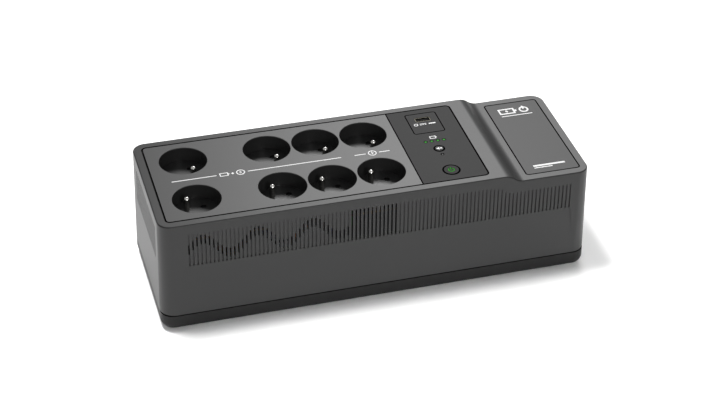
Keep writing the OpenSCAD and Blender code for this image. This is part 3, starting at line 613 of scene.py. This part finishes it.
port_low, port_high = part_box("usb_shell")
column = (port_low.x + port_high.x) / 2 / mm
battery, pole = battery_sign(column - 0.2, 10.0, 4.8, 3.1, 0.7)
printing("panel_printing", "case", [battery], [pole], panel_high.z, glowing_ink.material)
lens_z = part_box("status_lenses")[1].z + 0.01 * mm
dots = [arc(column + (number - 1.5) * 5.4, 4.5, 0.6, 0, 345, 15) for number in range(4)]
printing("lamp_dots", "case", [], dots, lens_z, lamp_green)

# Under the charging socket: a ring, and the sign for direct current.
mark_y = port_low.y / mm - 4.6
strokes = [
    ring(column - 8.2, mark_y, 1.5, 0.75),
    ([(column - 4.8, mark_y + 0.7), (column + 1.0, mark_y + 0.7)], 0.7, False),
]
for step in range(3):
    start = column - 4.8 + step * 2.1
    strokes.append(([(start, mark_y - 0.7), (start + 1.4, mark_y - 0.7)], 0.7, False))
strokes.append(([(column + 3.2, mark_y), (column + 9.2, mark_y)], 1.5, False))
insert_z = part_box("usb_insert")[1].z
printing("port_printing", "case", strokes, [], insert_z, glowing_ink.material)

# On the mute cap: a loudspeaker with a cross.
mute_low, mute_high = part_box("mute_button")
mx, my = (mute_low.x + mute_high.x) / 2 / mm, (mute_low.y + mute_high.y) / 2 / mm
outline = [(-2.4, 0.7), (-1.4, 0.7), (0.1, 1.9), (0.1, -1.9), (-1.4, -0.7), (-2.4, -0.7)]
speaker = [(mx + x, my + y) for x, y in outline]
cross = [([(mx + 0.8, my + y), (mx + 2.5, my - y)], 0.7, False) for y in (0.9, -0.9)]
mute_z = mute_high.z
printing("mute_mark", "mute_button", cross, [speaker], mute_z, glowing_ink.material)

# ---- Marks on the trim plate ----
# Plain printed marks without letters: a battery with a bolt, a switch sign and a fine rule at
# the back, and two bars at the front.
tx = (trim_low.x + trim_high.x) / 2 / mm
battery, pole = battery_sign(tx - 7.0, 42.4, 13.0, 7.0, 1.5)
strokes = [
    battery,
    ring(tx + 8.6, 42.4, 3.6, 1.5),
    ([(tx + 8.6, 43.2), (tx + 8.6, 48.0)], 1.5, False),
    ([(tx - 14, 35.0), (tx + 14, 35.0)], 1.0, False),
    ([(tx - 14, -44.6), (tx + 14, -44.6)], 2.2, False),
    ([(tx - 14, -47.6), (tx + 2, -47.6)], 1.1, False),
]
fills = [pole, bolt_sign(tx - 7.0, 42.4, 2.7)]
printing("trim_printing", "case", strokes, fills, trim_high.z, glowing_ink.material)

# ---- Boards and their parts ----
# Glass-fibre boards under green solder mask; the parts keep their usual colours.


def mask(name, colour):
    made = Finish(name, Roughness=0.3, Coat_Weight=0.3)
    sizes = {"Vector": made.place, "Scale": 160.0, "Mortar Size": 0.02}
    colours = {"Color1": (0, 0, 0, 1), "Color2": (1, 1, 1, 1)}
    tracks = made.place.node(
        "ShaderNodeTexBrick", {"offset": 0.5, "squash": 1.0}, sizes | colours, out=1
    )
    made.feed("Base Color", tracks.blend([c * 0.7 for c in colour[:3]] + [1], colour))
    made.bump(tracks, 0.00003, 0.3)
    return made.material


board_green = mask("solder_mask", (0.02, 0.14, 0.05, 1))
paint("main_board", board_green)
paint("control_board", board_green)
colours = {
    "relays": (40, 62, 120, 0.3),
    "capacitors": (44, 44, 54, 0.4),
    "power_transistors": (30, 30, 30, 0.5),
    "buzzer": (34, 34, 34, 0.5),
    "tact_switches": (70, 70, 72, 0.5),
    "fuse": (205, 200, 175, 0.2),
    "breaker_body": (36, 36, 36, 0.4),
    "breaker_button": (208, 208, 204, 0.35),
    "data_port": (40, 40, 42, 0.4),
    "battery_case": (52, 52, 55, 0.45),
    "status_leds": (220, 230, 212, 0.3),
}
for node, (r, g, b, rough) in colours.items():
    made = Finish(node + "_finish", Roughness=rough)
    tone = made.noise(40, 3)
    full = [grey(v)[0] for v in (r, g, b)]
    made.feed("Base Color", tone.blend([c * 0.88 for c in full] + [1], full + [1]))
    made.bump(made.noise(1500, 2), 0.00003, 0.4)
    paint(node, made.material)
paint("heat_sink", plated("extruded_aluminium", (0.66, 0.67, 0.69, 1), 0.4, 0.00002))

# ---- Transformer and choke ----
# Enamelled copper wire wound in layers, on a stack of varnished steel sheets.


def wound(name, colour, pitch):
    made = Finish(name, Metallic=0.6, Roughness=0.35)
    turns = made.place.node(
        "ShaderNodeTexWave",
        {"wave_type": "BANDS", "bands_direction": "Z"},
        {"Vector": made.place, "Scale": 0.05 / pitch, "Distortion": 0.1},
        out=1,
    )
    made.feed("Base Color", turns.blend([c * 0.55 for c in colour[:3]] + [1], colour))
    made.bump(turns, 0.0002, 0.6)
    return made.material


copper = wound("enamelled_copper", (0.60, 0.24, 0.08, 1), 0.0006)
paint("transformer_winding", copper)
paint("choke", copper)
paint("transformer_core", wound("varnished_sheets", (0.16, 0.15, 0.15, 1), 0.0005))

# ---- Leads, gland and feet ----
# Soft insulated wire, a rubber gland at the right end, and four rubber feet.
for node, (r, g, b) in {
    "live_lead": (96, 60, 34),
    "neutral_lead": (40, 70, 160),
    "earth_lead": (80, 150, 60),
    "battery_lead_positive": (180, 30, 24),
    "battery_lead_negative": (24, 24, 24),
    "cord_gland": (28, 28, 28),
    "rubber_feet": (30, 30, 30),
}.items():
    made = Finish(node + "_rubber", Roughness=0.6)
    tone = made.noise(120, 3)
    full = [grey(v)[0] for v in (r, g, b)]
    made.feed("Base Color", tone.blend([c * 0.85 for c in full] + [1], full + [1]))
    made.feed("Roughness", 0.55 + tone * 0.2)
    made.bump(made.noise(900, 3), 0.00004, 0.5)
    paint(node, made.material)
